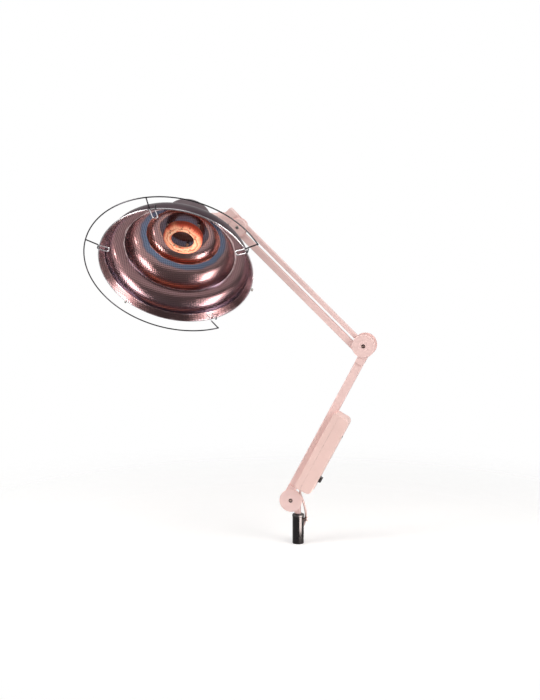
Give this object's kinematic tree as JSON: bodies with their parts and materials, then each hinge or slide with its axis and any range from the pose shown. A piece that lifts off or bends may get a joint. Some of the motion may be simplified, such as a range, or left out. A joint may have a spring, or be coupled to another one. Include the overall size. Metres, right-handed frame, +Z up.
{
  "type": "infrared heat therapy lamp",
  "caption": "Infrared heat therapy lamp: a stepped reflector with a ring heater and wire guard on a two-part swing arm with a switch box.",
  "frame": {"origin": "centre of the column stub's lower end", "axes": "+Z up along the column; the arms fold in the XZ plane, the head hangs towards -X and the shade faces -Y and down"},
  "size_m": [0.5839, 0.2662, 0.7412],
  "materials": {
    "pink_paint": "satin",
    "pink_bar": "satin painted tube, modelled solid",
    "pink_shell": "satin",
    "black_gloss": "gloss",
    "black_plastic": "matte",
    "cap_plastic": "satin",
    "lead_sheath": "matte",
    "zinc_steel": "satin",
    "dark_steel": "satin",
    "terminal_plastic": "satin",
    "reflector_sheet": "anodised, dimpled, polished",
    "heater_ceramic": "glazed ceramic",
    "chrome_wire": "polished"
  },
  "bodies": {
    "column": {"column_tube": "black_gloss", "column_cap": "black_plastic", "supply_connector": "black_plastic", "lead_grommet": "black_plastic", "lead_lower": "lead_sheath"},
    "wing_screw": {"wing_screw": "zinc_steel"},
    "swivel_bracket": {"pivot_bracket": "pink_paint"},
    "lower_arm": {"arm_channel": "pink_paint", "base_front_plate": "pink_paint", "base_rear_plate": "pink_paint", "base_disc": "pink_paint", "base_washers": "zinc_steel", "base_bolt": "dark_steel", "base_nut": "zinc_steel", "elbow_front_plate": "pink_paint", "elbow_rear_plate": "pink_paint", "elbow_front_disc": "pink_paint", "elbow_rear_disc": "pink_paint", "elbow_spacers": "zinc_steel", "elbow_bolt": "dark_steel", "elbow_nut": "zinc_steel", "lower_bar_pin": "zinc_steel", "box_base": "pink_shell", "box_cover": "pink_shell", "cover_screw": "dark_steel", "switch_bezel": "black_plastic", "switch_body": "black_plastic", "terminal_block": "terminal_plastic", "fuse_holder": "terminal_plastic", "lead_gland": "black_plastic", "lead_upper": "lead_sheath"},
    "switch_button": {"switch_button": "black_plastic"},
    "upper_bar": {"upper_bar": "pink_bar"},
    "lower_bar": {"lower_bar": "pink_bar"},
    "head_link": {"link_fork": "pink_paint", "link_front_disc": "pink_paint", "link_rear_disc": "pink_paint", "link_screws": "dark_steel", "link_pins": "zinc_steel", "tilt_clamp_screw": "dark_steel"},
    "head": {"reflector": "reflector_sheet", "rear_cap": "cap_plastic", "head_yoke": "zinc_steel", "tilt_spindle": "zinc_steel", "spindle_collar": "pink_paint", "spindle_clip": "zinc_steel", "heater_ring": "heater_ceramic", "heater_posts": "heater_ceramic", "back_screw": "dark_steel", "head_terminals": "heater_ceramic", "guard_ring": "chrome_wire", "rim_wire": "chrome_wire", "guard_hooks": "chrome_wire", "rim_clips": "chrome_wire"}
  },
  "joints": [
    {"name": "base_swivel", "type": "hinge", "parent": "column", "child": "swivel_bracket", "pos_m": [0, 0, 0.064], "axis": [0, 0, 1], "range_deg": [-15, 45], "deforming": ["lead_lower"]},
    {"name": "wing_screw_turn", "type": "hinge", "parent": "column", "child": "wing_screw", "pos_m": [0.014, 0, 0.0525], "axis": [1, 0, 0], "range_deg": [-180, 180]},
    {"name": "base_tilt", "type": "hinge", "parent": "swivel_bracket", "child": "lower_arm", "pos_m": [-0.013, 0, 0.0945], "axis": [0, -1, 0], "range_deg": [-30, 30], "deforming": ["lead_upper"]},
    {"name": "switch_press", "type": "slide", "parent": "lower_arm", "child": "switch_button", "axis": [-0.8862, 0, 0.4633], "range_m": [0, 0.0025], "stiffness_N_per_m": 500, "springref_m": -0.003},
    {"name": "elbow", "type": "hinge", "parent": "lower_arm", "child": "upper_bar", "pos_m": [0.13761, 0, 0.42425], "axis": [0, -1, 0], "range_deg": [-6, 40]},
    {"name": "lower_bar_pivot", "type": "hinge", "parent": "lower_arm", "child": "lower_bar", "pos_m": [0.12545, 0, 0.41166], "axis": [0, -1, 0], "range_deg": [-6, 40]},
    {"name": "head_level", "type": "hinge", "parent": "upper_bar", "child": "head_link", "pos_m": [-0.11848, 0, 0.67155], "axis": [0, -1, 0], "range_deg": [-40, 6]},
    {"name": "head_tilt", "type": "hinge", "parent": "head_link", "child": "head", "pos_m": [-0.14733, 0, 0.68342], "axis": [1, 0, 0], "range_deg": [-35, 50]}
  ],
  "couplings": [
    {"joint": "lower_bar_pivot", "follows": "elbow", "ratio": 1},
    {"joint": "head_level", "follows": "elbow", "ratio": -1}
  ]
}
